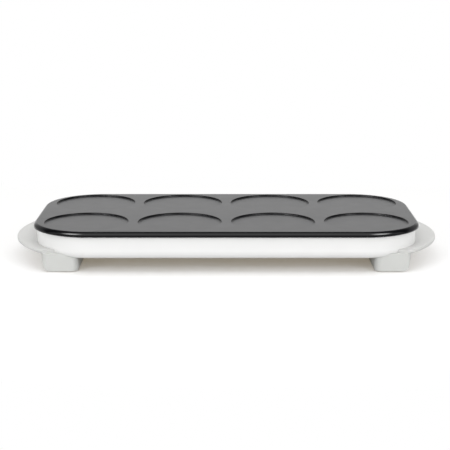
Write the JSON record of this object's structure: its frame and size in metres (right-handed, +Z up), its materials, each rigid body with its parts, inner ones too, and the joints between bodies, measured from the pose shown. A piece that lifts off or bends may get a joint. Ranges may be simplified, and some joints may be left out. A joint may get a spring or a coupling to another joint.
{
  "type": "electric griddle",
  "caption": "Low table-top electric griddle with a rounded oblong non-stick plate of round pancake recesses, a white housing, flat half-moon handles and block feet.",
  "frame": {"origin": "on the table under the middle of the griddle", "axes": "+X along the length to the right, +Y to the back where the inlet is, +Z up"},
  "size_m": [0.532, 0.236, 0.052],
  "materials": {
    "nonstick_plate": "die-cast aluminium with a dark grey satin non-stick coating and a glossy edge",
    "seal": "woven glass-fibre sealing strip, black with graphite",
    "housing_plastic": "glossy white moulded heat-resistant plastic",
    "cover_steel": "zinc-plated sheet steel",
    "reflector_sheet": "bright aluminised sheet",
    "handle_plastic": "fine-textured light grey moulded plastic",
    "foot_plastic": "fine-textured light grey moulded plastic",
    "pad_rubber": "grey silicone rubber",
    "element_sheath": "heat-browned stainless steel sheath",
    "pin_steel": "nickel-plated steel",
    "bead_ceramic": "unglazed steatite",
    "strap_steel": "plain pressed sheet steel",
    "screw_steel": "zinc-plated steel",
    "spacer_steel": "plain turned steel tube",
    "phenolic": "dark brown phenolic moulding",
    "cap_aluminium": "pressed aluminium",
    "terminal_brass": "stamped brass",
    "fuse_metal": "lacquered brass fuse case",
    "fuse_sleeving": "glass-fibre sleeving",
    "fitting_plastic": "black heat-resistant moulded plastic",
    "pin_nickel": "nickel-plated brass",
    "rocker_plastic": "glossy red moulded plastic",
    "contact_copper": "copper alloy strip",
    "lens_plastic": "clear orange moulded plastic",
    "lamp_glass": "neon lamp bulb",
    "holder_plastic": "natural moulded plastic",
    "wire_brown": "brown silicone-insulated wire",
    "wire_blue": "blue silicone-insulated wire",
    "wire_green": "green and yellow silicone-insulated wire"
  },
  "bodies": {
    "griddle": {"grill_plate": "nonstick_plate", "rim_seal": "seal", "housing": "housing_plastic", "base_cover": "cover_steel", "heat_reflector": "reflector_sheet", "handle_left": "handle_plastic", "handle_right": "handle_plastic", "foot_front_left": "foot_plastic", "pad_front_left": "pad_rubber", "foot_front_right": "foot_plastic", "pad_front_right": "pad_rubber", "foot_rear_left": "foot_plastic", "pad_rear_left": "pad_rubber", "foot_rear_right": "foot_plastic", "pad_rear_right": "pad_rubber", "heating_element": "element_sheath", "element_pins": "pin_steel", "element_beads": "bead_ceramic", "element_straps": "strap_steel", "strap_screws": "screw_steel", "upper_spacers": "spacer_steel", "lower_spacers": "spacer_steel", "plate_screws": "screw_steel", "cover_screws": "screw_steel", "foot_screws": "screw_steel", "handle_screws": "screw_steel", "thermostat_screws": "screw_steel", "fuse_clip_screw": "screw_steel", "inlet_screws": "screw_steel", "thermostat_body": "phenolic", "thermostat_cap": "cap_aluminium", "thermostat_bracket": "strap_steel", "thermostat_tabs": "terminal_brass", "thermal_fuse": "fuse_metal", "fuse_sleeve": "fuse_sleeving", "fuse_clip": "strap_steel", "earth_screw": "terminal_brass", "inlet_body": "fitting_plastic", "inlet_pins": "pin_nickel", "switch_body": "fitting_plastic", "switch_tabs": "terminal_brass", "pilot_lens": "lens_plastic", "pilot_lamp": "lamp_glass", "pilot_holder": "holder_plastic", "wire_live_in": "wire_brown", "wire_live_switched": "wire_brown", "wire_live_fuse": "wire_brown", "wire_live_element": "wire_brown", "wire_lamp_live": "wire_brown", "wire_neutral": "wire_blue", "wire_lamp_neutral": "wire_blue", "wire_earth": "wire_green", "wire_sockets": "terminal_brass"},
    "rocker": {"switch_rocker": "rocker_plastic", "switch_plunger": "terminal_brass"},
    "contact_lever": {"switch_lever": "contact_copper"}
  },
  "joints": [
    {"name": "rocker_press", "type": "hinge", "parent": "griddle", "child": "rocker", "pos_m": [0.03, 0.111, 0.03405], "axis": [0, 0, 1], "range_deg": [0, 22]},
    {"name": "lever_tilt", "type": "hinge", "parent": "griddle", "child": "contact_lever", "pos_m": [0.03, 0.1026, 0.03405], "axis": [0, 0, 1], "range_deg": [-11, 0]}
  ],
  "couplings": [
    {"joint": "lever_tilt", "follows": "rocker_press", "ratio": -0.5}
  ]
}
